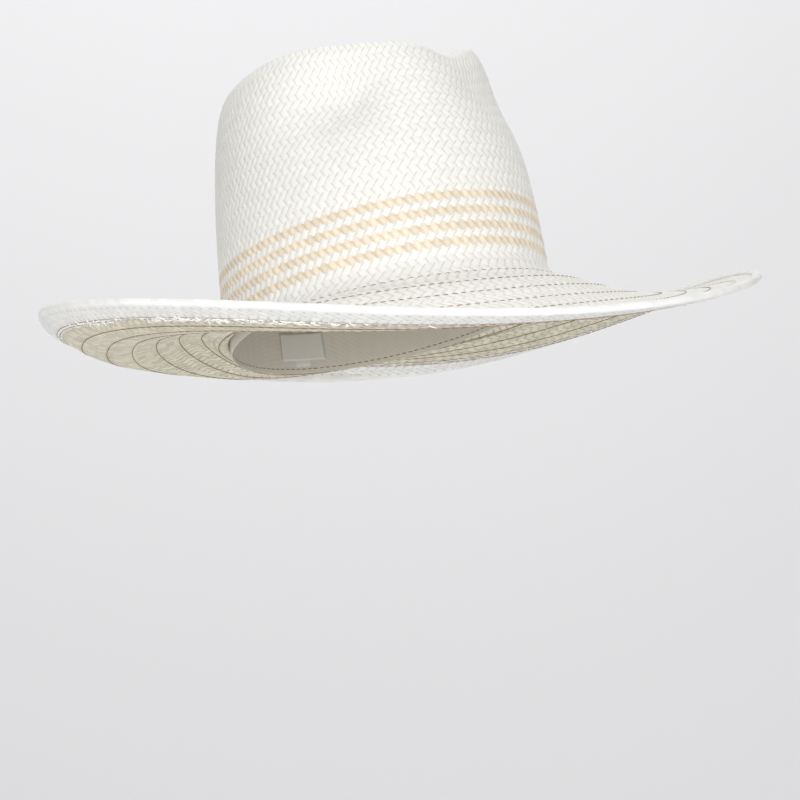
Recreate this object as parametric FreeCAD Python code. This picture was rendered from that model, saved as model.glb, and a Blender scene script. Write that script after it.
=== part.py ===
"""Panama hat: woven straw crown with tan rows, a stitched two-ply brim, wired rim and sweatband.

Millimetres. +Z runs up the crown, the front of the hat faces -Y, and the origin is the centre
of the head opening, in the plane where the crown meets the brim.
Directions round the hat are angles from the front, positive towards +X.
"""
import FreeCAD, Part
import os
from math import cos, exp, hypot, pi, radians, sin, sqrt

# Head opening, measured outside the straw where the crown meets the brim.
OPENING_HALF_LENGTH = 102.6
OPENING_HALF_WIDTH = 87.2

# Crown: the edge of its top is an oval ridge, drawn in a little where the front is pinched.
STRAW = 1.6
CREST_HEIGHT = 143.2
CREST_SLOPE = -0.039
CREST_FRONT_DROP = 11.0
CREST_BACK_RISE = 8.4
CREST_HALF_LENGTH = 79.5
CREST_HALF_WIDTH = 66.2
CREST_CENTRE_Y = -7.9
CREST_PULL = 0.036
CREST_PULL_ANGLE = 19.5
CREST_PULL_SPREAD = 20.4
SHOULDER_HEIGHT_POWER = 2.304
SHOULDER_REACH_POWER = 1.569
WALL_LEAN = 2.4
WALL_LEAN_FRONT = -9.2
TOP_DENT = 24.0

# The ridge is pressed lower on the wearer's left of the front.
NOTCH_DEPTH = 8.4

# Finger dents in the wall, either side of the front: depth, direction and spread of each.
RIGHT_PINCH = (14.9, -39.8, 19.9)
LEFT_PINCH = (5.9, 35.4, 25.5)
PINCH_HEIGHT = 110.4
PINCH_SPAN = 22.6

# Brim: its width along the straw, and its height at eight directions and four distances out.
BRIM_WIDTH = 113.7
BRIM_DIRECTIONS = (0, 45, 90, 135, 180, 225, 270, 315)
BRIM_SHARES = (0.0, 0.25, 0.5, 0.75, 1.0)
BRIM_HEIGHTS = (
    (-16.5, -8.9, 4.7, 15.2, 10.1, 17.5, 4.4, -12.6),
    (-34.4, -19.1, 8.5, 16.9, 19.0, 14.6, 1.8, -26.7),
    (-46.7, -23.3, 6.0, 16.5, 37.0, 25.5, 6.1, -31.4),
    (-50.6, -21.2, 13.8, 13.4, 28.3, 42.3, 21.4, -24.8),
)

# Flare from the crown's wall out into the brim.
BREAK_GAP = 2.5
BREAK_HEIGHT = 11.0
BREAK_END = 9.0
BREAK_PULL = 5.0
FLARE_STEPS = (0.2, 0.4, 0.6, 0.8, 1.0)

# Plies of the brim.
UPPER_PLY = 1.1
FACING_PLY = 1.0
GLUE_LINE = 0.06
PLY_INSET = 3.1
JOINT_GAP = 0.03
FACING_START = 0.5

# Rim: the straw is rolled round a wire, and the hem is turned under.
WIRE_RADIUS = 0.8
ROLL_RADIUS = 1.95
ROLL_BORE = 1.14
ROLL_CENTRE = 1.08
HEM_WIDTH = 17.2
HEM_SHARES = (0.45, 0.7, 1.0)
HEM_PLY = 0.8
HEM_LIP = 5.0
LIP_SLOPE = 1.2
LIP_EDGE = 0.5
LIP_TOP = 0.75

# Rows of thread, by their distance from the foot of the crown or in from the rim.
FIRST_ROW = 4.06
ROW_PITCH = 13.5
ROW_COUNT = 7
HEM_ROWS = (14.2, 16.0)
FLARE_ROW = (0.745, 0.795)
THREAD_WIDTH = 0.8
THREAD_HEIGHT = 0.35

# Natural tan rows in the weave of the crown, by the height of their middles.
TAN_TOP = 42.6
TAN_PITCH = 8.55
TAN_COUNT = 4
TAN_WIDTH = 4.3
TAN_PROUD = 0.15
TAN_DEPTH = 0.6
ROW_PLAY = 0.04

# Sweatband, with the tape over its seam and the size label at the back.
BAND_GAP = 0.3
BAND_THICKNESS = 0.9
BAND_HEIGHT = 32.0
BAND_FOOT = 1.5
BAND_STITCH = 4.0
TAPE_WIDTH = 10.0
LABEL_WIDTH = 30.0
LABEL_HEIGHT = 16.0
LABEL_FOOT = 9.0
TRIM_THICKNESS = 0.4

# Number of points round each ring, steps across the brim and points across a trim piece.
AROUND = 48
STEPS = 60
PATCH_POINTS = 9
TOP_RISES = (0.0, 0.2, 0.4, 0.55, 0.68, 0.79, 0.87, 0.93, 0.97, 0.99, 1.0,
             1.03, 1.08, 1.15, 1.25, 1.4, 1.6, 1.8)
SECTION_STEPS = (0.0, 1.0, 2.0, 3.0, 4.0)
PROFILES = {}


def opening(angle):
    """A point of the opening's oval, and the oval's outward direction there."""
    nx = OPENING_HALF_LENGTH * sin(angle)
    ny = -OPENING_HALF_WIDTH * cos(angle)
    size = hypot(nx, ny)
    return OPENING_HALF_WIDTH * sin(angle), -OPENING_HALF_LENGTH * cos(angle), nx / size, ny / size


def bump(angle, middle, spread):
    """A smooth bump of height 1 round a direction, both in degrees."""
    turn = (angle - radians(middle) + pi) % (2 * pi) - pi
    return exp(-((turn / radians(spread)) ** 2))


def edge_height(x, y):
    """Height of the crown's top edge above a point of the plan, before its dents."""
    ahead = (CREST_CENTRE_Y - y) / CREST_HALF_LENGTH
    drop = CREST_FRONT_DROP * max(0.0, ahead) ** 2.5 - CREST_BACK_RISE * max(0.0, -ahead) ** 2
    return CREST_HEIGHT + CREST_SLOPE * y - drop


def notch(angle):
    """How far the crown's top edge is pressed down."""
    return NOTCH_DEPTH * bump(angle, CREST_PULL_ANGLE, CREST_PULL_SPREAD)


def crest(angle):
    """A point of the crown's top edge."""
    share = 1.0
    for side in (-1, 1):
        share -= CREST_PULL * bump(angle, side * CREST_PULL_ANGLE, CREST_PULL_SPREAD)
    x = CREST_HALF_WIDTH * sin(angle) * share
    y = CREST_CENTRE_Y - CREST_HALF_LENGTH * cos(angle) * share
    return x, y, edge_height(x, y) - notch(angle)


def pinch(angle, z):
    """How far the two finger dents push the crown in."""
    total = sum(depth * bump(angle, middle, spread) for depth, middle, spread in (RIGHT_PINCH, LEFT_PINCH))
    return total * exp(-(((z - PINCH_HEIGHT) / PINCH_SPAN) ** 2))


def crown_point(level, angle):
    """A point of the crown's outside. Level 0 is the opening, 1 the top edge, 2 the middle."""
    cx, cy, cz = crest(angle)
    x0, y0, nx, ny = opening(angle)
    if level <= 1.0:
        reach = (1.0 - level ** SHOULDER_HEIGHT_POWER) ** (1.0 / SHOULDER_REACH_POWER)
        lean = (WALL_LEAN + WALL_LEAN_FRONT * cos(angle)) * level * sqrt(reach)
        x = cx + (x0 - lean * nx - cx) * reach
        y = cy + (y0 - lean * ny - cy) * reach
        z = level * cz
        push = pinch(angle, z)
    else:
        k = 2.0 - level
        x = k * cx
        y = CREST_CENTRE_Y + k * (cy - CREST_CENTRE_Y)
        z = edge_height(x, y) - notch(angle) * k ** 2 - TOP_DENT * (1.0 - k * k) ** 2
        push = k * k * pinch(angle, cz)
    return x - push * nx, y - push * ny, z


def around(values, angle):
    """A smooth value between the eight directions of the brim."""
    total = 0.0
    for direction, value in zip(BRIM_DIRECTIONS, values):
        turn = angle - radians(direction)
        total += value * (1 + 2 * cos(turn) + 2 * cos(2 * turn) + 2 * cos(3 * turn) + cos(4 * turn))
    return total / 8.0


def brim_height(share, heights):
    """Height at a share of the brim's width, through nought at its foot and the four heights."""
    total = 0.0
    for place, height in zip(BRIM_SHARES[1:], heights):
        for other in BRIM_SHARES:
            if other != place:
                height *= (share - other) / (place - other)
        total += height
    return total


def brim_profile(angle):
    """Reach and height of the brim every BRIM_WIDTH/STEPS along the straw, in one direction."""
    if angle not in PROFILES:
        heights = [around(row, angle) for row in BRIM_HEIGHTS]
        step = BRIM_WIDTH / STEPS
        reach = 0.0
        last = 0.0
        line = [(0.0, 0.0)]
        for i in range(1, STEPS + 3):
            z = brim_height(i / STEPS, heights)
            rise = z - last
            reach += sqrt(max(step * step - rise * rise, 0.04 * step * step))
            last = z
            line.append((reach, z))
        PROFILES[angle] = line
    return PROFILES[angle]


def brim_point(s, angle):
    """A point of the brim's top, s along the straw from the foot of the crown."""
    line = brim_profile(angle)
    place = s / BRIM_WIDTH * STEPS
    i = min(int(place), STEPS + 1)
    t = place - i
    # a parabola through three neighbouring points keeps the surface smooth
    a, b = line[i], line[i + 1]
    c = line[i + 2] if i + 2 < len(line) else (2 * b[0] - a[0], 2 * b[1] - a[1])
    reach = a[0] + t * (b[0] - a[0]) + t * (t - 1) / 2 * (c[0] - 2 * b[0] + a[0])
    z = a[1] + t * (b[1] - a[1]) + t * (t - 1) / 2 * (c[1] - 2 * b[1] + a[1])
    x, y, nx, ny = opening(angle)
    reach += BREAK_GAP
    return x + reach * nx, y + reach * ny, z


def flare_point(t, angle):
    """A point of the curve from the crown's wall (t = 0) out into the brim (t = 1)."""
    x, y, nx, ny = opening(angle)
    ax, ay, az = wall_point(BREAK_HEIGHT, angle)
    bx, by, bz = brim_point(BREAK_END, angle)
    cx, cy, cz = brim_point(BREAK_END + 1.0, angle)
    out_a = (ax - x) * nx + (ay - y) * ny
    out_b = (bx - x) * nx + (by - y) * ny
    out_c = (cx - x) * nx + (cy - y) * ny
    line = (
        (out_a, az),
        (out_a, az - BREAK_PULL),
        (out_b - BREAK_PULL * (out_c - out_b), bz - BREAK_PULL * (cz - bz)),
        (out_b, bz),
    )
    weights = ((1 - t) ** 3, 3 * t * (1 - t) ** 2, 3 * t * t * (1 - t), t ** 3)
    out = sum(w * p[0] for w, p in zip(weights, line))
    z = sum(w * p[1] for w, p in zip(weights, line))
    side = (ax - x) * -ny + (ay - y) * nx
    side *= (1 - t) ** 2
    return x + out * nx - side * ny, y + out * ny + side * nx, z


def wall_point(z, angle):
    """A point of the crown's wall at a height."""
    return crown_point(z / crest(angle)[2], angle)


def below(place, value, angle, depth):
    """A point under the outer surface, depth along its normal."""
    d = 1e-4
    px, py, pz = place(value, angle)
    back = value - d if value > d else value
    ux, uy, uz = (a - b for a, b in zip(place(value + d, angle), place(back, angle)))
    vx, vy, vz = (a - b for a, b in zip(place(value, angle + d), place(value, angle - d)))
    mx, my, mz = uy * vz - uz * vy, uz * vx - ux * vz, ux * vy - uy * vx
    size = sqrt(mx * mx + my * my + mz * mz)
    if place in (wall_point, crown_point):
        size = -size
    return FreeCAD.Vector(px - depth * mx / size, py - depth * my / size, pz - depth * mz / size)


def ring(place, value, depth, count=AROUND):
    """A closed ring of points at one value of the surface and one depth."""
    return [below(place, value, 2 * pi * i / count, depth) for i in range(count)]


def fit_closed(points):
    """A smooth closed curve through points spaced evenly round the hat."""
    curve = Part.BSplineCurve()
    curve.interpolate(Points=points, PeriodicFlag=True,
                      Parameters=[i / len(points) for i in range(len(points) + 1)])
    return curve


def skin(rings, places):
    """A smooth face through closed rings. A ring of one point repeated closes to a tip."""
    rows = []
    frame = None
    for points in rings:
        if (points[0] - points[len(points) // 3]).Length < 1e-6:
            rows.append(None)
            continue
        frame = fit_closed(points)
        rows.append(frame.getPoles())
    size = len(frame.getPoles())
    rows = [[rings[i][0]] * size if row is None else row for i, row in enumerate(rows)]
    columns = []
    for j in range(size):
        line = Part.BSplineCurve()
        line.interpolate(Points=[row[j] for row in rows], Parameters=places)
        columns.append(line.getPoles())
    poles = [[columns[j][i] for j in range(size)] for i in range(len(columns[0]))]
    surface = Part.BSplineSurface()
    surface.buildFromPolesMultsKnots(
        poles, line.getMultiplicities(), frame.getMultiplicities(),
        line.getKnots(), frame.getKnots(), False, True, line.Degree, frame.Degree)
    return surface.toShape()


def solid(faces):
    """A solid inside the faces, turned the right way out."""
    shell = Part.makeShell(faces)
    body = Part.makeSolid(shell)
    if body.Volume < 0:
        body.reverse()
    return body


def spread(first, last, count):
    """Evenly spaced values, both ends included."""
    return [first + (last - first) * i / (count - 1) for i in range(count)]


def sheet_skin(place, values, depth):
    """The face at one depth under a band of the surface."""
    return skin([ring(place, v, depth) for v in values], [abs(v - values[0]) for v in values])


def edge_skin(place, value, top, bottom):
    """The edge face of a band, between two depths."""
    return skin([ring(place, value, top), ring(place, value, bottom)], [0.0, 1.0])


def sheet(place, values, top, bottom):
    """A closed band of straw or thread between two depths."""
    return solid([
        sheet_skin(place, values, top),
        sheet_skin(place, values, bottom),
        edge_skin(place, values[0], top, bottom),
        edge_skin(place, values[-1], top, bottom),
    ])


def crown_shell():
    """The crown: wall with recesses for the tan rows, shoulder, dented top, and the inside."""
    faces = []
    z = BREAK_HEIGHT
    for i in range(TAN_COUNT):
        middle = TAN_TOP - TAN_PITCH * (TAN_COUNT - 1 - i)
        low, high = middle - TAN_WIDTH / 2, middle + TAN_WIDTH / 2
        faces.append(sheet_skin(wall_point, spread(z, low, 3), 0.0))
        faces.append(edge_skin(wall_point, low, 0.0, TAN_DEPTH))
        faces.append(sheet_skin(wall_point, spread(low, high, 3), TAN_DEPTH))
        faces.append(edge_skin(wall_point, high, TAN_DEPTH, 0.0))
        z = high
    faces.append(top_skin(z, 0.0))
    faces.append(top_skin(BREAK_HEIGHT, STRAW))
    for depth in (0.0, STRAW):
        rest = [(flare_point, t, depth) for t in FLARE_STEPS]
        faces.append(joined((wall_point, BREAK_HEIGHT, depth), *rest))
    faces.append(edge_skin(flare_point, 1.0, 0.0, STRAW))
    return solid(faces)


def chords(rings):
    """How far along each ring lies, by the mean distance from the one before it."""
    steps = [0.0]
    for first, second in zip(rings, rings[1:]):
        mean = sum((a - b).Length for a, b in zip(first, second)) / len(first)
        steps.append(steps[-1] + mean)
    return steps


def top_skin(z, depth):
    """The crown's skin above a height on the wall, up to the tip of the dent."""
    rings = []
    for rise in TOP_RISES:
        points = []
        for k in range(AROUND):
            angle = 2 * pi * k / AROUND
            start = z / crest(angle)[2]
            level = start + (1.0 - start) * rise if rise <= 1.0 else rise
            points.append(below(crown_point, level, angle, depth))
        rings.append(points)
    tip = FreeCAD.Vector(*crown_point(2.0, 0.0)) - FreeCAD.Vector(0, 0, depth)
    rings.append([tip] * AROUND)
    return skin(rings, chords(rings))


def joined(*places):
    """Rings taken from several surfaces or depths, each (place, value, depth), as one skin."""
    rings = [ring(*each) for each in places]
    return skin(rings, chords(rings))


def tan_row(number):
    """One natural row of the weave, seated in its recess round the crown."""
    middle = TAN_TOP - TAN_PITCH * (number - 1)
    low = middle - TAN_WIDTH / 2 + ROW_PLAY
    high = middle + TAN_WIDTH / 2 - ROW_PLAY
    return sheet(wall_point, spread(low, high, 3), -TAN_PROUD, TAN_DEPTH - ROW_PLAY)


def brim_upper():
    """The brim's upper ply of woven straw."""
    values = spread(BREAK_END + JOINT_GAP, BRIM_WIDTH - PLY_INSET, 10)
    return sheet(brim_point, values, 0.0, UPPER_PLY)


def brim_facing():
    """The brim's lower ply, glued and sewn under the upper one."""
    values = spread(BREAK_END + FACING_START, BRIM_WIDTH - PLY_INSET, 10)
    top = UPPER_PLY + GLUE_LINE
    return sheet(brim_point, values, top, top + FACING_PLY)


def rim_place(turn, radius):
    """Distance along the straw and depth, at a turn round the rolled rim from its top."""
    s = BRIM_WIDTH - ROLL_RADIUS + radius * sin(turn)
    return s, ROLL_CENTRE - radius * cos(turn)


def brim_hem():
    """The straw rolled over the wire at the rim and turned under as the hem."""
    turns = spread(0.0, pi, 7)
    floor = UPPER_PLY + FACING_PLY + 2 * GLUE_LINE
    lip = BRIM_WIDTH - HEM_LIP
    turned_under = [BRIM_WIDTH - HEM_WIDTH * share for share in HEM_SHARES]
    outer = [(brim_point, lip, -LIP_EDGE), (brim_point, lip + LIP_SLOPE, -LIP_TOP)]
    outer += [(brim_point, *rim_place(turn, ROLL_RADIUS)) for turn in turns]
    outer += [(brim_point, s, floor + HEM_PLY) for s in turned_under]
    inner = [(brim_point, lip, -GLUE_LINE), (brim_point, lip + LIP_SLOPE, -GLUE_LINE)]
    inner += [(brim_point, *rim_place(turn, ROLL_BORE)) for turn in turns]
    inner += [(brim_point, s, floor) for s in turned_under]
    faces = [joined(*outer), joined(*inner)]
    faces.append(joined(outer[0], inner[0]))
    faces.append(joined(outer[-1], inner[-1]))
    return solid(faces)


def tube(place, s, depth, radius):
    """A closed tube round the hat at a distance and depth, its section made of eight arcs."""
    rings = []
    for i in range(9):
        turn = 2 * pi * i / 8
        rings.append(ring(place, s + radius * sin(turn), depth - radius * cos(turn)))
    half = [skin(rings[:5], SECTION_STEPS), skin(rings[4:], SECTION_STEPS)]
    return solid(half)


def thread_line(place, wide, depth):
    """One line of thread laid on the straw."""
    return sheet(place, wide, depth, depth + THREAD_HEIGHT)


def thread_row(place, wide, under):
    """A row of thread: one line on the top of the straw and one underneath."""
    top = thread_line(place, wide, -GLUE_LINE - THREAD_HEIGHT)
    return Part.makeCompound([top, thread_line(place, wide, under)])


def brim_thread(s, under):
    """A row of thread at a distance from the foot of the crown."""
    return thread_row(brim_point, (s - THREAD_WIDTH / 2, s + THREAD_WIDTH / 2), under)


def sweatband():
    """The cloth band inside the foot of the crown."""
    outside = STRAW + BAND_GAP
    return sheet(wall_point, spread(BAND_FOOT, BAND_HEIGHT, 5), outside, outside + BAND_THICKNESS)


def patch(width, low, high, depth, thickness):
    """A small flat trim piece that follows the inside of the crown at the back."""
    half = width / 2 / OPENING_HALF_WIDTH
    turns = spread(pi - half, pi + half, PATCH_POINTS)
    wires = []
    for z in spread(low, high, 3):
        points = [below(wall_point, z, turn, depth) for turn in turns]
        points += [below(wall_point, z, turn, depth + thickness) for turn in reversed(turns)]
        points = [FreeCAD.Vector(point.x, point.y, z) for point in points]
        wires.append(Part.makePolygon(points + points[:1]))
    return Part.makeLoft(wires, True, True)


def main():
    os.makedirs("parts", exist_ok=True)
    floor = UPPER_PLY + FACING_PLY + 2 * GLUE_LINE
    nodes = {
        "crown_shell": crown_shell(),
        "brim_upper": brim_upper(),
        "brim_facing": brim_facing(),
        "brim_hem": brim_hem(),
        "brim_wire": tube(brim_point, BRIM_WIDTH - ROLL_RADIUS, ROLL_CENTRE, WIRE_RADIUS),
        "brim_stitch_row_1": thread_row(flare_point, FLARE_ROW, STRAW + GLUE_LINE),
        "sweatband": sweatband(),
    }
    for number in range(1, TAN_COUNT + 1):
        nodes[f"tan_straw_row_{number}"] = tan_row(number)
    for number in range(2, ROW_COUNT + 1):
        nodes[f"brim_stitch_row_{number}"] = brim_thread(FIRST_ROW + ROW_PITCH * (number - 1), floor)
    for name, inset in zip(("hem_stitch_outer", "hem_stitch_inner"), HEM_ROWS):
        nodes[name] = brim_thread(BRIM_WIDTH - inset, floor + HEM_PLY + GLUE_LINE)
    inside = STRAW + BAND_GAP + BAND_THICKNESS + GLUE_LINE
    foot = (BAND_STITCH - THREAD_WIDTH / 2, BAND_STITCH + THREAD_WIDTH / 2)
    nodes["sweatband_stitch"] = thread_line(wall_point, foot, inside)
    nodes["sweatband_seam_tape"] = patch(
        TAPE_WIDTH, BAND_STITCH + 1.5, BAND_HEIGHT - 0.5, inside, TRIM_THICKNESS)
    over_tape = inside + TRIM_THICKNESS + GLUE_LINE
    nodes["size_label"] = patch(
        LABEL_WIDTH, LABEL_FOOT, LABEL_FOOT + LABEL_HEIGHT, over_tape, TRIM_THICKNESS)
    for name, shape in nodes.items():
        shape.exportStep(f"parts/{name}.step")


main()
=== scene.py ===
"""Looks of the panama hat: woven relief, stitches, rolled rim, sweatband, light and camera.

Metres. +Z runs up the crown, the front faces -Y, and the origin is the centre of the head opening.
The straw's surface follows the same curves as the solid model, and every cell of the weave is
real geometry on it.
"""

from math import cos, pi, radians, sin

import bpy
import numpy as np
from mathutils import Matrix, Vector


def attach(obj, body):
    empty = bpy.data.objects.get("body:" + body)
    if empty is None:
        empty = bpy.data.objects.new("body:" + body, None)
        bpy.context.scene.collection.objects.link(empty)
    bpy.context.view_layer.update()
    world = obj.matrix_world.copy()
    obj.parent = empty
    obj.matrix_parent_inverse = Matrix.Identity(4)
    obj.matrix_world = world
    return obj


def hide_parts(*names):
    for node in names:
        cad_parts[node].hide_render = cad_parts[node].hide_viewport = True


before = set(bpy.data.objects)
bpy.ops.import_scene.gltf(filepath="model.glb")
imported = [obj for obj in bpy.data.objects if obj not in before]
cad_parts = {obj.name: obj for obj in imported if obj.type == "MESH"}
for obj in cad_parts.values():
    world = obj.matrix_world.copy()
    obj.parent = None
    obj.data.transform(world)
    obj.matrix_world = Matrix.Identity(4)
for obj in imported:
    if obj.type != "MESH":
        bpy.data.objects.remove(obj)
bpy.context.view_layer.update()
rng = np.random.default_rng(7)
MM = 0.001

# The hat's surface, in millimetres, as in the solid model. BRIM_HEIGHTS has a row for each
# distance out along the straw and a column for each eighth of a turn from the front.
OPENING_HALF_LENGTH = 102.6
OPENING_HALF_WIDTH = 87.2
STRAW = 1.6
CREST_HEIGHT = 143.2
CREST_SLOPE = -0.039
CREST_FRONT_DROP = 11.0
CREST_BACK_RISE = 8.4
CREST_HALF_LENGTH = 79.5
CREST_HALF_WIDTH = 66.2
CREST_CENTRE_Y = -7.9
CREST_PULL = 0.036
CREST_PULL_ANGLE = 19.5
CREST_PULL_SPREAD = 20.4
SHOULDER_HEIGHT_POWER = 2.304
SHOULDER_REACH_POWER = 1.569
WALL_LEAN = 2.4
WALL_LEAN_FRONT = -9.2
TOP_DENT = 24.0
NOTCH_DEPTH = 8.4
RIGHT_PINCH = (14.9, -39.8, 19.9)
LEFT_PINCH = (5.9, 35.4, 25.5)
PINCH_HEIGHT = 110.4
PINCH_SPAN = 22.6
BRIM_WIDTH = 113.7
BRIM_SHARES = (0.0, 0.25, 0.5, 0.75, 1.0)
BRIM_HEIGHTS = (
    (-16.5, -8.9, 4.7, 15.2, 10.1, 17.5, 4.4, -12.6),
    (-34.4, -19.1, 8.5, 16.9, 19.0, 14.6, 1.8, -26.7),
    (-46.7, -23.3, 6.0, 16.5, 37.0, 25.5, 6.1, -31.4),
    (-50.6, -21.2, 13.8, 13.4, 28.3, 42.3, 21.4, -24.8),
)
BRIM_STEPS = 60
BREAK_GAP = 2.5
BREAK_HEIGHT = 11.0
BREAK_END = 9.0
BREAK_PULL = 5.0
UPPER_PLY = 1.1
FACING_PLY = 1.0
GLUE = 0.12
UNDER_BRIM = UPPER_PLY + FACING_PLY + GLUE
HEM_PLY = 0.8
PLY_INSET = 3.1
ROLL_RADIUS = 1.95
ROLL_CENTRE = 1.08
HEM_WIDTH = 17.2
HEM_LIP = 5.0
FIRST_ROW = 4.06
ROW_PITCH = 13.5
ROW_COUNT = 7
HEM_ROWS = (14.2, 16.0)
FLARE_ROW = 0.77
TAN_TOP = 42.6
TAN_PITCH = 8.55
TAN_COUNT = 4
BAND_GAP = 0.3
BAND_THICKNESS = 0.9
BAND_HEIGHT = 32.0
BAND_FOOT = 1.5
BAND_STITCH = 4.0
TAPE_WIDTH = 10.0
LABEL_WIDTH = 30.0
LABEL_HEIGHT = 16.0
LABEL_FOOT = 9.0

# The weave: height of a course, rows of points in it, cells round the crown, and relief.
# Courses count up from the top tan row, which is course 0.
COURSE = TAN_PITCH / 2
COURSE_ROWS = 4
FLARE_COURSES = 11
TAN_COURSES = [-2 * i for i in range(TAN_COUNT)]
CROWN_CELLS = 114
CELL_COLUMNS = 6
CROWN_CUTS = (8, 25)
TOP_CELL = 5.0
FEWEST_CELLS = 5
BRIM_CELL = 5.6
BRIM_COLUMNS = 912
HEM_CELLS = 228
RELIEF = 0.5
CROWN_SINK = 0.12
BRIM_SINK = 0.1
TAN_SEAT = 0.5
TAN_SUNK = 0.62
SLANT = 0.55
ZIGZAG = 0.24
TOP_ZIGZAG = 0.35

# How finely the crown's curves are sampled before the courses are laid on them.
FLARE_SAMPLES = 25
WALL_SAMPLES = 150
TOP_SAMPLES = 90
TIP = 0.03
EVEN_FROM = 42.0

# Length round the brim, at its foot and for each millimetre out.
FOOT_GIRTH = 600
GIRTH_RATE = 6.0

# Thread: stitches on the top, a line underneath, and stitches in the band.
STITCH_PITCH = 4.6
STITCH = 3.1
TOP_THREAD = 0.21
TOP_THREAD_RISE = 0.26
FLARE_THREAD_RISE = 0.22
UNDER_THREAD = 0.22
UNDER_THREAD_DIP = 0.16
THREAD_SIDES = 6
BAND_STITCHES = 150
BAND_STITCH_LENGTH = 2.8
BAND_THREAD = 0.25

# A stitch from end to end: place along its half length, and share of its full thickness.
STITCH_SHAPE = ((-1.0, 0.35), (-0.8, 0.85), (0.0, 1.0), (0.8, 0.85), (1.0, 0.35))

# Frayed straw under the rim: directions of the tufts in degrees, spread, number and thickness.
FRAY_MIDDLES = np.array([-86.0, -83.0, -62.0, -57.0, -52.0, -46.0, -41.0, -68.0])
FRAY_SPREAD = 2.6
FRAY_COUNT = 130
FRAY_RADIUS = 0.42

# Cloth pieces inside the crown's foot.
TRIM = 0.35
BAND_ROWS = 24
BAND_COLUMNS = 456
BAND_RIPPLE = 0.4
BAND_RIPPLES = 38

# A small step along the brim and round the hat, to find directions on the surface.
NEAR = 0.3
TURN = 1e-3


def unit(v):
    """Vectors scaled to length 1."""
    return v / np.linalg.norm(v, axis=-1, keepdims=True)


def upward(n):
    """Each normal turned to point up."""
    return n * np.where(n[:, 2:] < 0, -1.0, 1.0)


def opening(a):
    """A point of the opening's oval in each direction, and the oval's outward direction there."""
    nx = OPENING_HALF_LENGTH * np.sin(a)
    ny = -OPENING_HALF_WIDTH * np.cos(a)
    size = np.hypot(nx, ny)
    return OPENING_HALF_WIDTH * np.sin(a), -OPENING_HALF_LENGTH * np.cos(a), nx / size, ny / size


def bump(a, middle, spread):
    """A smooth bump of height 1 round a direction, both in degrees."""
    turn = (a - radians(middle) + pi) % (2 * pi) - pi
    return np.exp(-((turn / radians(spread)) ** 2))


def edge_height(x, y):
    """Height of the crown's top edge before the notch."""
    ahead = (CREST_CENTRE_Y - y) / CREST_HALF_LENGTH
    front = CREST_FRONT_DROP * np.maximum(0.0, ahead) ** 2.5
    return CREST_HEIGHT + CREST_SLOPE * y - front + CREST_BACK_RISE * np.maximum(0.0, -ahead) ** 2


def notch(a):
    """How far the ridge is pressed down."""
    return NOTCH_DEPTH * bump(a, CREST_PULL_ANGLE, CREST_PULL_SPREAD)


def crest(a):
    """The ridge round the top of the crown."""
    share = 1.0 - CREST_PULL * (bump(a, -CREST_PULL_ANGLE, CREST_PULL_SPREAD)
                                + bump(a, CREST_PULL_ANGLE, CREST_PULL_SPREAD))
    x = CREST_HALF_WIDTH * np.sin(a) * share
    y = CREST_CENTRE_Y - CREST_HALF_LENGTH * np.cos(a) * share
    return x, y, edge_height(x, y) - notch(a)


def pinch(a, z):
    """Depth of the finger dents either side of the front."""
    total = sum(depth * bump(a, middle, spread)
                for depth, middle, spread in (RIGHT_PINCH, LEFT_PINCH))
    return total * np.exp(-(((z - PINCH_HEIGHT) / PINCH_SPAN) ** 2))


def wall(level, a):
    """Points of the crown's wall; level 0 is the opening and 1 the top edge."""
    cx, cy, cz = crest(a)
    x0, y0, nx, ny = opening(a)
    reach = np.maximum(1.0 - level ** SHOULDER_HEIGHT_POWER, 0.0) ** (1.0 / SHOULDER_REACH_POWER)
    lean = (WALL_LEAN + WALL_LEAN_FRONT * np.cos(a)) * level * np.sqrt(reach)
    z = level * cz
    push = pinch(a, z)
    x = cx + (x0 - lean * nx - cx) * reach - push * nx
    y = cy + (y0 - lean * ny - cy) * reach - push * ny
    return np.stack([x, y, z + 0 * x], -1)


def wall_at(z, a):
    """Points of the crown's wall at a height."""
    return wall(z / crest(a)[2], a)


def top(k, a):
    """Points of the crown's dented top; k is 1 at the edge and 0 in the middle."""
    cx, cy, cz = crest(a)
    nx, ny = opening(a)[2:]
    x = k * cx
    y = CREST_CENTRE_Y + k * (cy - CREST_CENTRE_Y)
    z = edge_height(x, y) - notch(a) * k ** 2 - TOP_DENT * (1.0 - k * k) ** 2
    push = k * k * pinch(a, cz)
    return np.stack([x - push * nx, y - push * ny, z], -1)


def around(values, a):
    """A smooth closed curve through eight values, one for each eighth of a turn."""
    total = 0.0
    for i, value in enumerate(values):
        turn = a - i * pi / 4
        total = total + value * (1 + 2 * np.cos(turn) + 2 * np.cos(2 * turn)
                                 + 2 * np.cos(3 * turn) + np.cos(4 * turn))
    return total / 8.0


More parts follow.
